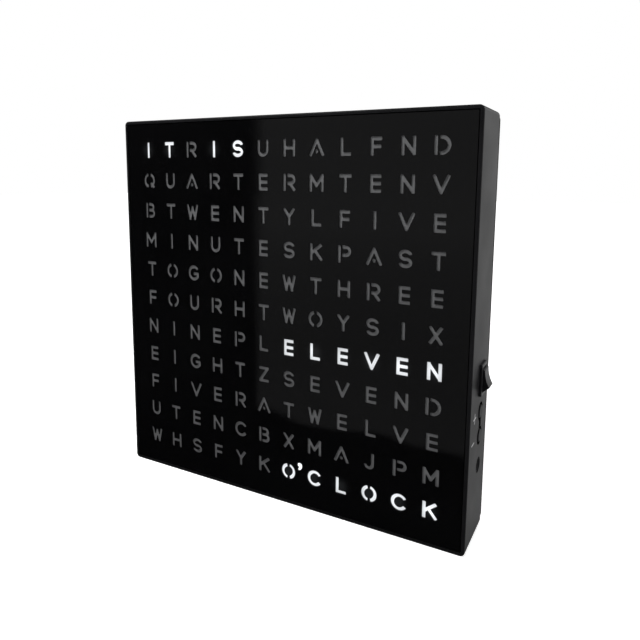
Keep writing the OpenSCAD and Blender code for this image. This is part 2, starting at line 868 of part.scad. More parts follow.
module minus_button() { button_cap(minus_z); }

// Power socket

module dc_jack_body() {
    x0 = jack_face_x - jack_l;
    color(part_black) difference() {
        union() {
            block(x0, jack_face_x, board_back_d, side_d, jack_z - jack_w / 2, jack_z + jack_w / 2);
            side_rod(jack_z, jack_w / 2 - 0.2, x0, jack_face_x);
            block(jack_face_x - 3.3, jack_face_x, board_back_d, side_d + 4.5,
                jack_z - jack_w / 2, jack_z + jack_w / 2);
            side_rod(jack_z, jack_nose_r, jack_face_x - 1, jack_nose_x);
        }
        side_rod(jack_z, jack_bore_r, jack_floor_x, side_x + 1);
        side_rod(jack_z, 1.65, x0 - 1, jack_floor_x + 1);
        block(jack_floor_x, jack_face_x - 4, side_d - 4.2, side_d, jack_z - 1.2, jack_z + 1.2);
    }
}

module dc_jack_pin() {
    tip = 0.35;
    end = jack_nose_x - 1;
    color(metal) union() {
        side_rod(jack_z, 1.6, jack_face_x - jack_l - 0.5, jack_floor_x);
        side_rod(jack_z, jack_pin_r, jack_floor_x, end - tip);
        translate([end - tip, dy(side_d), jack_z]) rotate([0, 90, 0])
            cylinder(r1 = jack_pin_r, r2 = jack_pin_r - tip, h = tip);
    }
}

// Sprung strip under the bore, and the two soldered tails
module dc_jack_contacts() {
    x0 = jack_face_x - jack_l;
    color(metal) union() {
        block(jack_floor_x + 0.2, jack_face_x - 4.3, side_d - 4.1, side_d - 3.8,
            jack_z - 1, jack_z + 1);
        block(x0 - 0.3, x0, board_back_d, side_d - 3.8, jack_z - 1, jack_z + 1);
    }
}

// Back

module keyhole(d0, d1) {
    for (s = [-1, 1]) translate([s * keyhole_span / 2, dy(d1), keyhole_z]) rotate([90, 0, 0])
        linear_extrude(d1 - d0) union() {
            circle(keyhole_r);
            translate([-neck_r, 0]) square([2 * neck_r, neck_l]);
            translate([0, neck_l]) circle(neck_r);
        }
}

keyhole_z = body_h - 40;
pad_t = 1;
pad_w = 3;
lip_t = 1.2;
rib_t = 1.2;
rib_deep = 2.2;

module cover_ribs() {
    reach_x = wall_x - fit - lip_t / 2;
    reach_z = mid_z - wall - fit - lip_t / 2;
    for (k = [-1, 0, 1]) {
        block(k * 30 - rib_t / 2, k * 30 + rib_t / 2, plate_d - rib_deep, plate_d + 0.1,
            mid_z - reach_z, mid_z + reach_z);
        block(-reach_x, reach_x, plate_d - rib_deep, plate_d + 0.1,
            mid_z + k * 35 - rib_t / 2, mid_z + k * 35 + rib_t / 2);
    }
}

module cover_lip() {
    w = 2 * (wall_x - fit);
    h = body_h - 2 * wall - 2 * fit;
    difference() {
        slab(w, h, 0.5, cover_d - lip_deep, plate_d + 0.1);
        slab(w - 2 * lip_t, h - 2 * lip_t, 0.5, cover_d - lip_deep - 1, plate_d + 1);
        at_corners(post_x, post_z) rod_at(post_r + boss_gap, cover_d - lip_deep - 1, cover_d);
    }
}

module keyhole_pads() {
    for (s = [-1, 1]) translate([s * keyhole_span / 2, dy(plate_d + 0.1), keyhole_z + neck_l / 2])
        rotate([90, 0, 0]) linear_extrude(pad_t + 0.1)
            rounded(2 * (keyhole_r + pad_w), neck_l + 2 * (keyhole_r + pad_w) - neck_r, 3);
}

module rear_cover() {
    w = body_w - 2 * cover_inset;
    h = body_h - 2 * cover_inset;
    inset = wall + cover_inset / 2;
    color(case_black) difference() {
        union() {
            difference() {
                translate([0, dy(cover_d), mid_z]) rotate([-90, 0, 0])
                    soft_plate(w, h, band, cover_r, cover_edge_r);
                slab(w - 2 * inset, h - 2 * inset, cover_r - wall, cover_d - 1, plate_d);
            }
            cover_lip();
            cover_ribs();
            keyhole_pads();
            at_corners(post_x, post_z) rod_at(cover_boss_r, post_back_d + 0.1, plate_d + 0.1);
        }
        at_corners(post_x, post_z) rod_at(rear_screw_r + 0.3, post_back_d - 1, body_d);
        at_corners(post_x, post_z) rod_at(rear_head_r + 0.3, head_seat_d, body_d + 1);
        keyhole(plate_d - pad_t - 1, body_d + 1);
    }
}

module rear_screws() {
    color(metal) at_corners(post_x, post_z) difference() {
        union() {
            rod_at(rear_head_r, head_seat_d, head_seat_d + rear_head_t);
            rod_at(rear_screw_r, head_seat_d - rear_screw_l, head_seat_d + 0.5);
        }
        for (a = [45, 135]) rotate([0, a, 0])
            translate([-1.6, dy(head_seat_d + rear_head_t - 0.9), -0.35]) cube([3.2, 2, 0.7]);
    }
}

housing();
front_panel();
diffuser_sheet();
light_baffle();
led_board();
board_screws();
led_packages();
led_lenses();
microcontroller();
led_drivers();
clock_chip();
clock_crystal();
chip_resistors();
voltage_regulator();
smoothing_capacitors();
coin_cell_holder();
coin_cell();
coin_cell_clip();
switch_body();
switch_rocker();
switch_plunger();
switch_spring();
switch_contact();
switch_common_terminal();
switch_load_terminal();
switch_wires();
switch_plug();
switch_header();
button_board();
button_header();
tact_switches();
tact_plunger_plus();
tact_plunger_minus();
plus_button();
minus_button();
dc_jack_body();
dc_jack_pin();
dc_jack_contacts();
rear_cover();
rear_screws();
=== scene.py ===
"""Looks of the word clock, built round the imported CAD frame. Metres, face towards -Y."""
import math

import bmesh
import bpy
from mathutils import Matrix, Vector


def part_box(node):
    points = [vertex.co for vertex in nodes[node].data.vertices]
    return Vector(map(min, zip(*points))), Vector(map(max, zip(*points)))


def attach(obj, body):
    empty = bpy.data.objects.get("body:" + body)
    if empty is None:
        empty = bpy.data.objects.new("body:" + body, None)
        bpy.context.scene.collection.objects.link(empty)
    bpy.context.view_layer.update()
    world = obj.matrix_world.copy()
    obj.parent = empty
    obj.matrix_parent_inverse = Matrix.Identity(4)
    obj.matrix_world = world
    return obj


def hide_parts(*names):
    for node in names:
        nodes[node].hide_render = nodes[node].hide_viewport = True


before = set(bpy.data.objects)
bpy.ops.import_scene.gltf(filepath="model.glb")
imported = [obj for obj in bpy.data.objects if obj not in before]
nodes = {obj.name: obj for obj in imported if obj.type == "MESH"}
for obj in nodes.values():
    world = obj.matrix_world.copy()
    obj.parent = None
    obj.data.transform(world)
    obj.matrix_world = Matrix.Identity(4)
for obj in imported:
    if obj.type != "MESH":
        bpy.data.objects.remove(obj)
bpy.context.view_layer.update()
scene = bpy.context.scene
MM = 0.001
HALF, HALF_DEPTH = 100.0, 17.5  # half the case's width and height, and half its depth, mm

# ---------------------------------------------------------------- materials


class Nodes:
    """A node tree, with helpers that add to it."""

    def __init__(self, tree):
        self.tree = tree
        tree.nodes.clear()

    def add(self, kind, **values):
        node = self.tree.nodes.new(kind)
        for key, value in values.items():
            setattr(node, key, value)
        return node

    def feed(self, socket, value):
        """Sets a socket to a number, or links an output to it."""
        if isinstance(value, (int, float)):
            socket.default_value = value
        else:
            self.tree.links.new(value, socket)

    def joined(self, kind, *values):
        """A node's first output, once its first inputs are fed."""
        node = self.add(kind)
        for socket, value in zip(node.inputs, values):
            self.feed(socket, value)
        return node.outputs[0]

    def math(self, operation, *values):
        node = self.add("ShaderNodeMath", operation=operation)
        for socket, value in zip(node.inputs, values):
            self.feed(socket, value)
        return node.outputs[0]

    def weighed(self, a, weight_a, b, weight_b):
        return self.math("ADD", self.math("MULTIPLY", a, weight_a),
                         self.math("MULTIPLY", b, weight_b))

    def length(self, a, b):
        return self.math("SQRT", self.weighed(a, a, b, b))

    def mixed(self, a, b, share):
        """a where share is 0, b where it is 1."""
        return self.math("ADD", self.math("MULTIPLY", share, self.math("SUBTRACT", b, a)), a)

    def spread(self, value, low, high, at=(0.3, 0.7), curve="LINEAR"):
        """value, from at[0] to at[1], mapped to low to high."""
        node = self.add("ShaderNodeMapRange", interpolation_type=curve)
        self.feed(node.inputs["Value"], value)
        for key, number in zip(("From Min", "From Max", "To Min", "To Max"), (*at, low, high)):
            node.inputs[key].default_value = number
        return node.outputs["Result"]

    def axes(self, vector):
        node = self.add("ShaderNodeSeparateXYZ")
        self.feed(node.inputs[0], vector)
        return node.outputs


class Shader(Nodes):
    """A material: a Principled surface with helpers for procedural detail."""

    def __init__(self, name, **sockets):
        self.mat = bpy.data.materials.new(name)
        self.mat.use_nodes = True
        super().__init__(self.mat.node_tree)
        self.out = self.add("ShaderNodeOutputMaterial")
        self.bsdf = self.add("ShaderNodeBsdfPrincipled")
        self.feed(self.out.inputs[0], self.bsdf.outputs[0])
        for key, value in sockets.items():
            self.bsdf.inputs[key.replace("_", " ")].default_value = value
        self.coord = self.add("ShaderNodeTexCoord").outputs["Object"]

    def along(self, axis):
        """Place along axis 0, 1 or 2, in mm."""
        return self.math("MULTIPLY", self.axes(self.coord)[axis], 1 / MM)

    def noise(self, size_mm, detail=2.0, rough=0.5, stretch=None):
        source = self.coord
        if stretch:
            mapping = self.add("ShaderNodeMapping")
            mapping.inputs["Scale"].default_value = stretch
            self.feed(mapping.inputs["Vector"], source)
            source = mapping.outputs[0]
        node = self.add("ShaderNodeTexNoise")
        self.feed(node.inputs["Vector"], source)
        node.inputs["Scale"].default_value = 1 / MM / size_mm
        node.inputs["Detail"].default_value = detail
        node.inputs["Roughness"].default_value = rough
        return node.outputs["Fac"]

    def ramp(self, value, stops):
        node = self.add("ShaderNodeValToRGB")
        self.feed(node.inputs[0], value)
        band = node.color_ramp
        while len(band.elements) < len(stops):
            band.elements.new(0.5)
        for element, (place, colour) in zip(band.elements, stops):
            element.position = place
            element.color = (*colour, 1)
        return node.outputs[0]

    def colour(self, value, stops):
        self.feed(self.bsdf.inputs["Base Color"], self.ramp(value, stops))

    def roughness(self, value, low, high):
        self.feed(self.bsdf.inputs["Roughness"], self.spread(value, low, high))

    def bump(self, height, depth_mm, strength=1.0):
        node = self.add("ShaderNodeBump")
        node.inputs["Strength"].default_value = strength
        node.inputs["Distance"].default_value = depth_mm * MM
        self.feed(node.inputs["Height"], height)
        self.feed(self.bsdf.inputs["Normal"], node.outputs[0])

    def glow(self, strength, colour):
        self.feed(self.bsdf.inputs["Emission Strength"], strength)
        self.bsdf.inputs["Emission Color"].default_value = (*colour, 1)


def shade(colour, factor):
    return tuple(min(c * factor, 1.0) for c in colour)


# Painted shade: the share of tone taken from surfaces inside the case, and the roughness they gain
INNER_PAINTED_SHADE, INNER_DULLER = 0.7, 0.45  # loss of tone and gain in roughness inside the case


def moulded(name, colour, rough=0.45, grain=0.35, depth=0.012, mottle=0.12, skin=None, **sockets):
    """Moulded plastic: an eroded grain, slow changes of tone and of gloss. Surfaces more than
    skin mm inside the case's outer faces are duller, as in a polished mould, and darker
    with painted shade, as shade falls in the recesses."""
    s = Shader(name, **sockets)
    slow = s.noise(18, 3)
    tone = s.ramp(slow, [(0.3, shade(colour, 1 - mottle)), (0.7, shade(colour, 1 + mottle))])
    fine = s.noise(grain, 3, 0.6)
    gloss = s.spread(s.weighed(fine, 0.5, slow, 0.5), rough - 0.06, rough + 0.06)
    if skin is not None:
        x, y, z = s.axes(s.coord)
        out = s.math("MAXIMUM", s.math("ABSOLUTE", x),
                     s.math("ABSOLUTE", s.math("SUBTRACT", z, HALF * MM)))
        inner = s.math("MULTIPLY", s.math("LESS_THAN", out, (HALF - skin) * MM),
                       s.math("GREATER_THAN", y, (0.5 - HALF_DEPTH) * MM))
        # Painted shade: the colour is darkened on surfaces inside the case's outer faces
        scale = s.add("ShaderNodeVectorMath", operation="SCALE")
        s.feed(scale.inputs[0], tone)
        s.feed(scale.inputs["Scale"],
               s.math("SUBTRACT", 1.0, s.math("MULTIPLY", inner, INNER_PAINTED_SHADE)))
        tone = scale.outputs[0]
        gloss = s.math("ADD", gloss, s.math("MULTIPLY", inner, INNER_DULLER))
    s.feed(s.bsdf.inputs["Base Color"], tone)
    s.feed(s.bsdf.inputs["Roughness"], gloss)
    s.bump(fine, depth, 0.8)
    return s.mat


def metal(name, colour, rough=0.25, stretch=(1, 1, 1)):
    """Drawn or rolled metal with a grain along one axis."""
    s = Shader(name, Metallic=1.0)
    lines = s.noise(0.6, 4, 0.6, stretch)
    s.colour(s.noise(4, 3), [(0.25, shade(colour, 0.8)), (0.75, shade(colour, 1.08))])
    s.roughness(lines, rough - 0.07, rough + 0.1)
    s.bump(lines, 0.003, 0.7)
    return s.mat


def circuit_board(name):
    """Green solder mask over a grid of copper tracks, which shows in patches."""
    track_half, clear_of_zero = 0.16, 500.0  # mm; PINGPONG is only even over positive numbers
    s = Shader(name, IOR=1.5)
    tracks = 0.0
    for axis, pitch in ((0, 2.54), (2, 3.81)):
        place = s.math("ADD", s.along(axis), clear_of_zero)
        line = s.math("LESS_THAN", s.math("PINGPONG", place, pitch / 2), track_half)
        tracks = s.math("MAXIMUM", tracks, line)
    tracks = s.math("MULTIPLY", tracks, s.math("GREATER_THAN", s.noise(16, 1), 0.5))
    weave = s.noise(1.2, 2)
    s.colour(s.weighed(tracks, 0.5, weave, 0.3),
             [(0.05, (0.006, 0.05, 0.02)), (0.25, (0.01, 0.075, 0.03)), (0.6, (0.03, 0.16, 0.07))])
    s.roughness(weave, 0.25, 0.38)
    s.bump(tracks, 0.035, 0.8)
    return s.mat


def phosphor(name):
    """Yellow lens with a grainy fill."""
    s = Shader(name, Roughness=0.25, IOR=1.5)
    s.colour(s.noise(0.25, 3), [(0.3, (0.72, 0.5, 0.08)), (0.7, (0.85, 0.66, 0.2))])
    s.bump(s.noise(0.2, 2), 0.004)
    return s.mat


# ------------------------------------------------------------ the cell grid

COLUMNS, ROWS = 12, 11
COL_PITCH, ROW_PITCH = 15.1, 16.7
LETTER_PITCH, LETTER_RISE = 16.6, 0.9  # the rows of letters, against the middle of the cells
TICK_X, TICK_Z = 14.3, 22.0  # the apostrophe, which stands between two columns
WORDS = ("ITRISUHALFND", "QUARTERMTENV", "BTWENTYLFIVE", "MINUTESKPAST", "TOGONEWTHREE",
         "FOURHTWOYSIX", "NINEPLELEVEN", "EIGHTZSEVEND", "FIVERATWELVE", "UTENCBXMAJPM",
         "WHSFYKOCLOCK")
LIT = ((0, 0, 1), (0, 3, 4), (6, 6, 11), (10, 6, 11))  # row, first and last column of each lit word


def column_x(i):
    return (i - (COLUMNS - 1) / 2) * COL_PITCH


def row_z(j):
    return HALF + ((ROWS - 1) / 2 - j) * ROW_PITCH


def letter_z(j):
    """Height of a row of letters, which sits a little above the middle of its cells."""
    return HALF + LETTER_RISE + ((ROWS - 1) / 2 - j) * LETTER_PITCH


def lit_cells(s):
    """1 in the cells of the lit words, 0 elsewhere, and the distance from a letter's middle, mm."""
    def within(value, low, high):
        return s.math("MULTIPLY", s.math("GREATER_THAN", value, low),
                      s.math("LESS_THAN", value, high))

    x, z = s.along(0), s.along(2)
    lit = 0.0
    for row, first, last in LIT:
        across = within(x, column_x(first) - COL_PITCH / 2, column_x(last) + COL_PITCH / 2)
        upright = within(z, row_z(row) - ROW_PITCH / 2, row_z(row) + ROW_PITCH / 2)
        lit = s.math("MAXIMUM", lit, s.math("MULTIPLY", across, upright))
    whole = 40  # pitches added, as PINGPONG is only even over positive numbers
    off_x = s.math("PINGPONG", s.math("ADD", x, whole * COL_PITCH), COL_PITCH / 2)
    off_x = s.math("SUBTRACT", COL_PITCH / 2, off_x)
    off_z = s.math("ADD", z, whole * LETTER_PITCH - HALF - LETTER_RISE)
    off_z = s.math("PINGPONG", off_z, LETTER_PITCH / 2)
    return lit, s.length(off_x, off_z)


def diffuser_material():
    """Smoked diffuser that glows behind the lit words, strongest over each LED."""
    s = Shader("smoked_diffuser", Roughness=0.6, IOR=1.4)
    speck = s.noise(1.1, 3)
    s.colour(s.weighed(speck, 0.35, s.noise(70, 2), 0.65),
             [(0.3, (0.098, 0.099, 0.102)), (0.7, (0.128, 0.129, 0.132))])
    s.bump(speck, 0.01, 0.4)
    lit, reach = lit_cells(s)
    glow = s.math("MULTIPLY", s.spread(reach, 1.0, 0.55, (1.0, 6.5)),
                  s.spread(s.noise(14, 1), 0.75, 1.15))
    from_tick = s.length(s.math("SUBTRACT", s.along(0), TICK_X),
                         s.math("SUBTRACT", s.along(2), TICK_Z))
    tick = s.spread(from_tick, 1.4, 0.0, (1.5, 3.5))
    s.glow(s.math("MAXIMUM", s.math("MULTIPLY", lit, glow), tick), (0.94, 0.97, 1.0))
    return s.mat


def face_material():
    """Polished black sheet with a faint painted glow round the lit letters, standing in for their
    light spreading over it.
    """
    s = Shader("gloss_face", IOR=1.45)
    s.colour(s.noise(60, 3), [(0.3, (0.0014, 0.0014, 0.0016)), (0.7, (0.0022, 0.0022, 0.0024))])
    s.roughness(s.noise(9, 4, 0.6), 0.03, 0.06)
    s.bump(s.noise(45, 1), 0.02, 0.2)
    lit, reach = lit_cells(s)
    # Painted light: the face itself glows round the lit letters
    painted_halo = s.spread(reach, 0.11, 0.0, (1.0, 6.0))
    s.glow(s.math("MULTIPLY", lit, s.math("MULTIPLY", painted_halo, painted_halo)), (0.9, 0.95, 1.0))
    return s.mat


CASE = (0.0085, 0.0085, 0.0092)
face_mat = face_material()
MATERIALS = {
    moulded("case_plastic", CASE, 0.36, 0.5, 0.012, 0.15, skin=0.4, IOR=1.125): ("housing",),
    # The cover's darker tone is painted shade for the dark band along the back of the side wall
    moulded("cover_plastic", shade(CASE, 0.7), 0.6, 0.6, 0.02, 0.15, IOR=1.04): ("rear_cover",),
    moulded("button_plastic", shade(CASE, 1.1), 0.42, 0.4, 0.01, skin=0.3, IOR=1.13):
        ("plus_button", "minus_button"),
    face_mat: ("front_panel",),
    diffuser_material(): ("diffuser_sheet",),
    moulded("baffle_white", (0.78, 0.78, 0.75), 0.6, 0.6, 0.012, 0.05): ("light_baffle",),
    circuit_board("circuit_board"): ("led_board", "button_board"),
    moulded("led_package", (0.8, 0.79, 0.74), 0.4, 0.3, 0.004, 0.04): ("led_packages",),
    phosphor("phosphor"): ("led_lenses",),
    moulded("chip_epoxy", (0.018, 0.018, 0.02), 0.55, 0.25, 0.012):
        ("microcontroller", "led_drivers", "clock_chip", "chip_resistors", "voltage_regulator",
         "coin_cell_holder", "button_header", "tact_switches", "dc_jack_body"),
    metal("tinned", (0.68, 0.68, 0.66), 0.28):
        ("clock_crystal", "coin_cell_clip", "dc_jack_pin", "dc_jack_contacts"),
    metal("bright_steel", (0.55, 0.55, 0.54), 0.3): ("board_screws", "coin_cell", "switch_spring"),
    metal("blackened_steel", (0.06, 0.06, 0.065), 0.38): ("rear_screws",),
    metal("drawn_can", (0.6, 0.6, 0.62), 0.24, (1, 12, 1)): ("smoothing_capacitors",),
    moulded("switch_plastic", (0.009, 0.009, 0.010), 0.33, 0.3, 0.004, IOR=1.2):
        ("switch_body", "switch_rocker"),
    moulded("nylon", (0.72, 0.68, 0.57), 0.42, 0.8, 0.006, 0.05, Subsurface_Weight=0.1):
        ("switch_plunger", "switch_plug", "switch_header", "tact_plunger_plus",
         "tact_plunger_minus"),
    metal("brass", (0.66, 0.46, 0.2), 0.27, (1, 6, 1)):
        ("switch_contact", "switch_common_terminal", "switch_load_terminal"),
    moulded("wire_insulation", (0.42, 0.02, 0.015), 0.32, 1.5, 0.01, 0.1): ("switch_wires",),
}
for material, names in MATERIALS.items():
    for name in names:
        mesh = nodes[name].data
        mesh.materials.clear()
        mesh.materials.append(material)


# ------------------------------------------------------------------- solids


def solid(bm, rings):
    """Closed solid through two or more outlines with as many points each, in metres."""
    loops = [[bm.verts.new(point) for point in ring] for ring in rings]
    bm.faces.new(loops[0])
    bm.faces.new(loops[-1][::-1])
    for a, b in zip(loops, loops[1:]):
        for k in range(len(a)):
            j = (k + 1) % len(a)
            bm.faces.new((a[k], b[k], b[j], a[j]))


def rounded_outline(w, h, r, steps=6):
    """Rectangle about the origin with round corners."""
    points = []
    for side, up, start in ((1, -1, -90), (1, 1, 0), (-1, 1, 90), (-1, -1, 180)):
        for k in range(steps + 1):
            t = math.radians(start + 90 * k / steps)
            points.append((side * (w / 2 - r) + r * math.cos(t),
                           up * (h / 2 - r) + r * math.sin(t)))
    return points


def make_object(name, bm, material):
    mesh = bpy.data.meshes.new(name)
    bmesh.ops.recalc_face_normals(bm, faces=bm.faces)
    bm.to_mesh(mesh)
    bm.free()
    obj = bpy.data.objects.new(name, mesh)
    scene.collection.objects.link(obj)
    if material:
        mesh.materials.append(material)
    return obj


def cut(obj, cutter):
    """Takes the cutter's solid out of obj and removes the cutter."""
    mod = obj.modifiers.new("cut", "BOOLEAN")
    mod.operation = "DIFFERENCE"
    mod.solver = "MANIFOLD"
    mod.object = cutter
    graph = bpy.context.evaluated_depsgraph_get()
    mesh = bpy.data.meshes.new_from_object(obj.evaluated_get(graph), depsgraph=graph)
    obj.modifiers.clear()
    whole, obj.data = obj.data, mesh
    bpy.data.meshes.remove(whole)
    bpy.data.objects.remove(cutter)


# ------------------------------------------------------------- face letters

STROKE_R = 0.85  # half the width of a stroke, mm
CAP = 4.2  # half the height of a letter
TOP = CAP - STROKE_R
DOT_R = 0.95
CORNER = 0.34  # how far back from a corner its rounding starts
BLUNT = math.radians(140)  # corners wider than this stay as they are


def clip(points, a, b, c):
    """The part of a convex outline where a * x + b * y <= c."""
    kept = []
    for k, p in enumerate(points):
        q = points[(k + 1) % len(points)]
        past_p, past_q = a * p[0] + b * p[1] - c, a * q[0] + b * q[1] - c
        if past_p <= 0:
            kept.append(p)
        if (past_p < 0 < past_q) or (past_q < 0 < past_p):
            t = past_p / (past_p - past_q)
            kept.append((p[0] + t * (q[0] - p[0]), p[1] + t * (q[1] - p[1])))
    return kept


def soften(points):
    """Rounds off an outline's sharp corners, as a cutter does."""
    soft = []
    for k, point in enumerate(points):
        p = Vector(point)
        before, after = Vector(points[k - 1]) - p, Vector(points[(k + 1) % len(points)]) - p
        if before.angle(after, math.pi) > BLUNT:
            soft.append(point)
            continue
        start, end = (p + v.normalized() * min(CORNER, v.length * 0.45) for v in (before, after))
        for t in (0, 0.25, 0.5, 0.75, 1):
            soft.append(tuple(start * (1 - t) ** 2 + p * 2 * t * (1 - t) + end * t ** 2))
    return soft


def line(x0, y0, x1, y1, e0=STROKE_R, e1=STROKE_R, planes=()):
    """Straight stroke in mm, run on by e0 and e1, cut at the cap height and the planes."""
    u = Vector((x1 - x0, y1 - y0)).normalized()
    n = Vector((-u.y, u.x)) * STROKE_R
    a, b = Vector((x0, y0)) - u * e0, Vector((x1, y1)) + u * e1
    points = [tuple(p) for p in (a - n, b - n, b + n, a + n)]
    for plane in ((0, 1, CAP), (0, -1, CAP), *planes):
        points = clip(points, *plane)
    return soften(points)


def stem(x):
    """Upright stroke of the full height."""
    return line(x, TOP, x, -TOP)


def dot(x, y):
    turns = [math.tau * k / 24 for k in range(24)]
    return [(x + DOT_R * math.cos(t), y + DOT_R * math.sin(t)) for t in turns]


def arc(cx, cy, rx, ry, a0, a1, e0=STROKE_R, e1=STROKE_R):
    """Stroke along an ellipse's arc, a0 to a1 degrees anticlockwise, run on by e0 and e1 mm."""
    per_mm = 360 / (math.pi * (rx + ry))
    a0, a1 = a0 - e0 * per_mm, a1 + e1 * per_mm
    steps = max(8, int(abs(a1 - a0) / 9))
    outer, inner = [], []
    for k in range(steps + 1):
        t = math.radians(a0 + (a1 - a0) * k / steps)
        p = Vector((cx + rx * math.cos(t), cy + ry * math.sin(t)))
        n = Vector((math.cos(t) / rx, math.sin(t) / ry)).normalized() * STROKE_R
        outer.append(tuple(p + n))
        inner.append(tuple(p - n))
    return soften(outer + inner[::-1])


def bowl(cx, cy, rx, ry):
    """Right half of a ring, joined to bars at both ends."""
    return arc(cx, cy, rx, ry, -90, 90, 0.1, 0.1)


def bar(x0, y, x1):
    """Level stroke whose right end runs into a bowl."""
    return line(x0, y, x1, y, STROKE_R, 0.1)


def arm(y, x0, x1):
    """Level stroke whose left end is inside a stem."""
    return line(x0, y, x1, y, IN)


def ring():
    """A ring with a bridge at the top and one at the bottom."""
    gap = 26
    return [arc(0, 0, 3.2, TOP, 90 + gap, 270 - gap), arc(0, 0, 3.2, TOP, -90 + gap, 90 - gap)]


def upper_bowl():
    """Stem with the bowl of a P."""
    return [stem(-2.6), bar(-0.4, TOP, 0.9), bowl(0.9, 1.45, 1.9, 1.9), bar(-0.4, -0.45, 0.9)]


def sides(x):
    """Two clip planes that keep what is within x of the middle."""
    return [(1, 0, x), (-1, 0, x)]


IN = 0.2  # how far a stroke runs on inside another one
LEFT, RIGHT = (1, 0, 0.05), (-1, 0, 0.05)  # clip planes that keep one half of a letter
DIP = (0, -1, 2.35)  # clip plane under the middle of an M
LETTERS = {
    "A": [line(0, TOP, -3.15, -TOP, planes=[LEFT]), line(0, TOP, 3.15, -TOP, planes=[RIGHT]),
          dot(0, -1.9)],
    "B": [stem(-2.5), bar(-0.4, TOP, 0.6), bowl(0.6, TOP - 1.65, 1.65, 1.65), bar(-0.4, 0.1, 0.9),
          bowl(0.9, -TOP + 1.72, 1.75, 1.72), bar(-0.4, -TOP, 0.9)],
    "C": [arc(0.35, 0, 3.3, TOP, 46, 314)],
    "D": [stem(-2.9), bar(-0.5, TOP, -0.3), bowl(-0.4, 0, 3.3, TOP), bar(-0.5, -TOP, -0.3)],
    "E": [stem(-2), arm(TOP, -2, 2), arm(0, -2, 1.9), arm(-TOP, -2, 2)],
    "F": [stem(-2), arm(TOP, -2, 2), arm(-0.1, -2, 1.7)],
    "G": [arc(0.1, 0, 3.1, TOP, 50, 325, e1=0.1), line(0.6, -0.4, 2.75, -0.4),
          line(2.75, -0.4, 2.75, -2.1, 0.5, 0.5)],
    "H": [stem(-2.6), stem(2.6), line(-2.6, 0, 2.6, 0, IN, IN)],
    "I": [stem(0)],
    "J": [line(1.5, TOP, 1.5, -1.5, e1=0.3), arc(-0.4, -TOP + 1.9, 1.9, 1.9, -150, 0, e1=0.1)],
    "K": [stem(-2.6), line(-2.5, -0.5, 2.6, TOP, 0, 0.7), line(-0.7, 0.9, 2.8, -TOP, 0, 0.75)],
    "L": [stem(-2), arm(-TOP, -2, 2)],
    "M": [stem(-3.1), stem(3.1),
          line(-3.1, TOP, 0, -1.4, planes=[LEFT, DIP, (-1, 0, 3.1 + STROKE_R)]),
          line(3.1, TOP, 0, -1.4, planes=[RIGHT, DIP, (1, 0, 3.1 + STROKE_R)])],
    "N": [stem(-2.6), stem(2.6), line(-2.6, TOP, 2.6, -TOP, planes=sides(2.6 + STROKE_R))],
    "O": ring(),
    "P": upper_bowl(),
    "Q": [*ring(), line(1.3, -1.7, 2.9, -TOP)],
    "R": [*upper_bowl(), line(0.3, -0.45, 2.7, -TOP, 0)],
    "S": [arc(0, TOP - 1.73, 2.45, 1.73, 32, 270, e1=0.2),
          arc(0, -TOP + 1.67, 2.5, 1.67, -148, 90, e1=0.2)],
    "T": [line(-2.45, TOP, 2.45, TOP), line(0, TOP, 0, -TOP, IN)],
    "U": [line(-2.45, TOP, -2.45, -0.9, e1=0.3), line(2.45, TOP, 2.45, -0.9, e1=0.3),
          arc(0, -0.9, 2.45, 2.45, 180, 360, 0.1, 0.1)],
    "V": [line(-3.05, TOP, 0, -TOP, planes=[LEFT]), line(3.05, TOP, 0, -TOP, planes=[RIGHT])],
    "W": [line(-3.1, TOP, -1.6, -TOP), line(-1.6, -TOP, 0, 2.5, planes=[LEFT]),
          line(0, 2.5, 1.6, -TOP, planes=[RIGHT]), line(1.6, -TOP, 3.1, TOP)],
    "X": [line(-2.3, TOP, 2.3, -TOP), line(-2.3, -TOP, 2.3, TOP)],
    "Y": [line(-2.4, TOP, 0, -0.1, planes=[LEFT]), line(2.4, TOP, 0, -0.1, planes=[RIGHT]),
          line(0, -0.1, 0, -TOP, IN)],
    "Z": [line(-2.3, TOP, 2.3, TOP), line(2.3, TOP, -2.3, -TOP, planes=sides(3.1)),
          line(-2.3, -TOP, 2.3, -TOP)],
}
TICK = [(0.1, 2.1), (1.0, 1.75), (1.45, 0.9), (1.4, 0.0), (0.95, -1.0), (0.1, -1.9), (-0.75, -2.2),
        (-1.15, -1.75), (-0.75, -1.0), (-0.6, -0.35), (-1.15, 0.05), (-1.4, 0.7), (-1.2, 1.45),
        (-0.65, 1.95)]


def stencil_face():
    """The gloss sheet with a letter cut through it over each cell."""
    lo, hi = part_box("front_panel")
    w, h = (hi.x - lo.x) / MM, (hi.z - lo.z) / MM
    edge, corner_r = 0.12, 0.4

    def outline_at(points, x, y, z):
        return [((x + px) * MM, y, (z + pz) * MM) for px, pz in points]

    bm = bmesh.new()
    solid(bm, [outline_at(rounded_outline(w - 2 * inset, h - 2 * inset, corner_r), 0, y, HALF)
               for inset, y in ((edge, lo.y), (0, lo.y + edge * MM), (0, hi.y))])
    face = make_object("stencil_face", bm, face_mat)

    def cut_through(outlines):
        bm = bmesh.new()
        for points, x, z in outlines:
            solid(bm, [outline_at(points, x, y, z) for y in (lo.y - MM, hi.y + MM)])
        cut(face, make_object("letter_cutter", bm, None))

    # Strokes of one letter overlap, so each cut takes only one stroke from every letter
    for layer in range(max(len(strokes) for strokes in LETTERS.values())):
        outlines = [(LETTERS[letter][layer], column_x(i), letter_z(j))
                    for j, word in enumerate(WORDS) for i, letter in enumerate(word)
                    if layer < len(LETTERS[letter])]
        cut_through(outlines + ([(TICK, TICK_X, TICK_Z)] if layer == 0 else []))
    face.data.materials.clear()
    face.data.materials.append(face_mat)
    return face


face = stencil_face()
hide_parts("front_panel")
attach(face, "case")

# ------------------------------------------- marks beside the two buttons

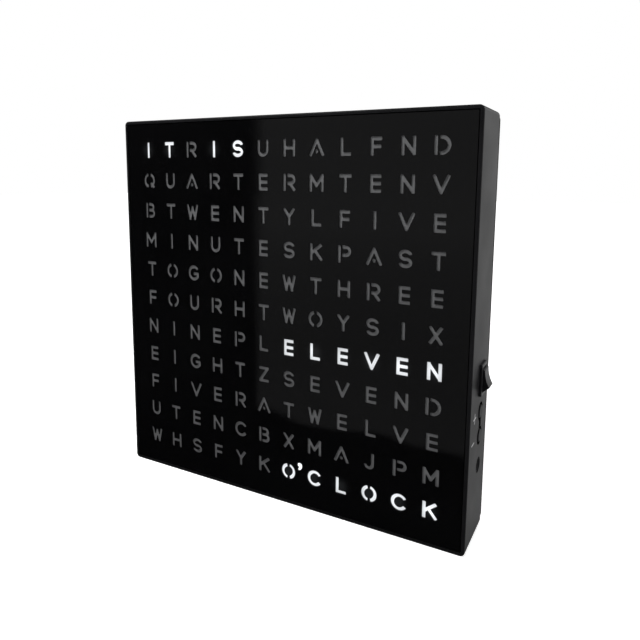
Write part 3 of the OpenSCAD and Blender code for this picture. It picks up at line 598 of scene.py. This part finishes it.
BAR, BAR_THICK = 5.0, 0.64  # length and thickness of a mark's bars, mm
mark_mat = moulded("mark_print", (0.4, 0.4, 0.405), 0.5, 0.2, 0.006, 0.2)
side_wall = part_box("housing")[1].x / MM
for name, y, z, bars in (("plus_mark", -9.2, 62.8, ((BAR, BAR_THICK), (BAR_THICK, BAR))),
                         ("minus_mark", -10.8, 51.3, ((BAR, BAR_THICK),))):
    bm = bmesh.new()
    for k, (width, height) in enumerate(bars):
        outline = rounded_outline(width, height, BAR_THICK * 0.49, 4)
        solid(bm, [[(x * MM, (y + py) * MM, (z + pz) * MM) for py, pz in outline]
                   for x in (side_wall - 0.05, side_wall + 0.05 + 0.01 * k)])
    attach(make_object(name, bm, mark_mat), "case")

# ------------------------------------------------------- stage, light, view

ROOM = 0.13  # how bright the room in front of the clock looks in its gloss face
ROOM_NEAR, ROOM_FAR = ROOM * 1.1, ROOM * 1.7
DARK = 0.003  # the room's dark side
ROOM_EDGE = -0.685  # where the room's dark side ends, as x / -y of a mirrored direction
TABLE_EDGE = (-0.085, -0.075)  # y where the room starts behind the dark table, metres


def floor_material():
    """Pale floor that keeps the shadow. The gloss face sees it as a dark table and a dim room,
    the side wall as pale floor."""
    s = Shader("pale_floor")
    s.tree.nodes.remove(s.bsdf)
    paths = s.add("ShaderNodeLightPath").outputs
    x, y, _ = s.axes(s.coord)
    away = s.length(x, y)

    def emission(strength):
        node = s.add("ShaderNodeEmission")
        s.feed(node.inputs["Strength"], strength)
        return node.outputs[0]

    def either(share, first, second):
        return s.joined("ShaderNodeMixShader", share, first, second)

    def both(first, second):
        return s.joined("ShaderNodeAddShader", first, second)

    tone = s.ramp(s.noise(300, 3), [(0.3, (0.78, 0.78, 0.78)), (0.7, (0.82, 0.82, 0.82))])
    diffuse = s.joined("ShaderNodeBsdfDiffuse", tone)
    pale = both(diffuse, emission(s.spread(away, 0.7, 1.0, (0.3, 0.9))))
    edge = s.math("ADD", y, s.math("MULTIPLY", s.noise(110, 2), 0.07))
    across = s.math("DIVIDE", x, s.math("SUBTRACT", 0.001, y))
    seen = s.math("MULTIPLY", s.spread(edge, 1.0, 0.0, TABLE_EDGE),
                  s.spread(across, 0.0, 1.0, (ROOM_EDGE, ROOM_EDGE + 0.035)))
    room = s.spread(y, ROOM_FAR, ROOM_NEAR, (-1.5, -0.3))
    dim = emission(s.math("ADD", s.math("MULTIPLY", seen, room), DARK))
    beside = both(diffuse, emission(s.spread(away, 0.1, 0.48, (0.15, 1.2))))
    mirrored = either(s.math("LESS_THAN", y, -HALF_DEPTH * MM), beside, dim)
    direct = either(paths["Is Camera Ray"], diffuse, pale)
    s.feed(s.out.inputs[0], either(paths["Is Glossy Ray"], direct, mirrored))
    return s.mat


bm = bmesh.new()
bmesh.ops.create_grid(bm, x_segments=24, y_segments=24, size=4.0)
floor = make_object("floor", bm, floor_material())


def white_world():
    """White to the camera and behind the object; a dim room in front of it for reflections."""
    world = bpy.data.worlds.new("studio")
    scene.world = world
    world.use_nodes = True
    s = Nodes(world.node_tree)

    def smooth(value, at, low, high):
        return s.spread(value, low, high, at, "SMOOTHSTEP")

    x, y, _ = s.axes(s.add("ShaderNodeTexCoord").outputs["Generated"])
    across = s.math("DIVIDE", x, s.math("SUBTRACT", 0.001, y))
    room = smooth(across, (ROOM_EDGE, ROOM_EDGE + 0.045), DARK, ROOM_FAR)
    behind = smooth(s.math("ADD", y, s.math("MULTIPLY", s.math("MAXIMUM", x, 0.0), 0.6)),
                    (-0.1, 0.1), 0.0, 1.0)
    fill = smooth(y, (-0.7, 0.8), 0.3, 0.6)
    paths = s.add("ShaderNodeLightPath").outputs
    sharp = s.math("MAXIMUM", paths["Is Glossy Ray"], paths["Is Transmission Ray"])
    level = s.mixed(fill, s.mixed(room, 1.0, behind), sharp)
    level = s.mixed(level, 1.0, paths["Is Camera Ray"])
    sky = s.add("ShaderNodeBackground")
    sky.inputs["Color"].default_value = (1, 1, 1, 1)
    s.feed(sky.inputs["Strength"], level)
    s.feed(s.add("ShaderNodeOutputWorld").inputs[0], sky.outputs[0])


white_world()


def area_light(name, place, target, size, power):
    data = bpy.data.lights.new(name, "AREA")
    data.shape = "DISK"
    data.size = size
    data.energy = power
    obj = bpy.data.objects.new(name, data)
    obj.location = place
    obj.rotation_mode = "QUATERNION"
    obj.rotation_quaternion = (Vector(target) - Vector(place)).to_track_quat("-Z", "Y")
    scene.collection.objects.link(obj)


area_light("key", (-0.3, -0.36, 0.55), (0, 0, 0.1), 0.25, 3.2)
area_light("side", (1.1, 0.1, 0.2), (0.1, 0, 0.1), 0.5, 3.4)
area_light("top", (0.1, 0.3, 1.6), (0, 0, 0.1), 0.9, 5)

# The camera fitted to the case's corners in the photo, in pixels of a square picture
PICTURE, FOCAL, CENTRE_X, CENTRE_Y = 640, 588.46, 313.262, 257.296
SENSOR = 36  # mm
cam_data = bpy.data.cameras.new("camera")
cam_data.lens = FOCAL / PICTURE * SENSOR
cam_data.sensor_width = SENSOR
cam_data.shift_x = (PICTURE / 2 - CENTRE_X) / PICTURE
cam_data.shift_y = (CENTRE_Y - PICTURE / 2) / PICTURE
cam_data.clip_start = 0.01
camera = bpy.data.objects.new("camera", cam_data)
right = Vector((0.879962, 0.474993, 0.007047))
down = Vector((0.071514, -0.11779, -0.99046))
ahead = Vector((-0.469631, 0.872071, -0.137619))
turn = Matrix((right, -down, -ahead)).transposed()
camera.matrix_world = Matrix.Translation((0.155112, -0.265494, 0.170677)) @ turn.to_4x4()
scene.collection.objects.link(camera)
scene.camera = camera
scene.view_settings.view_transform = "Standard"
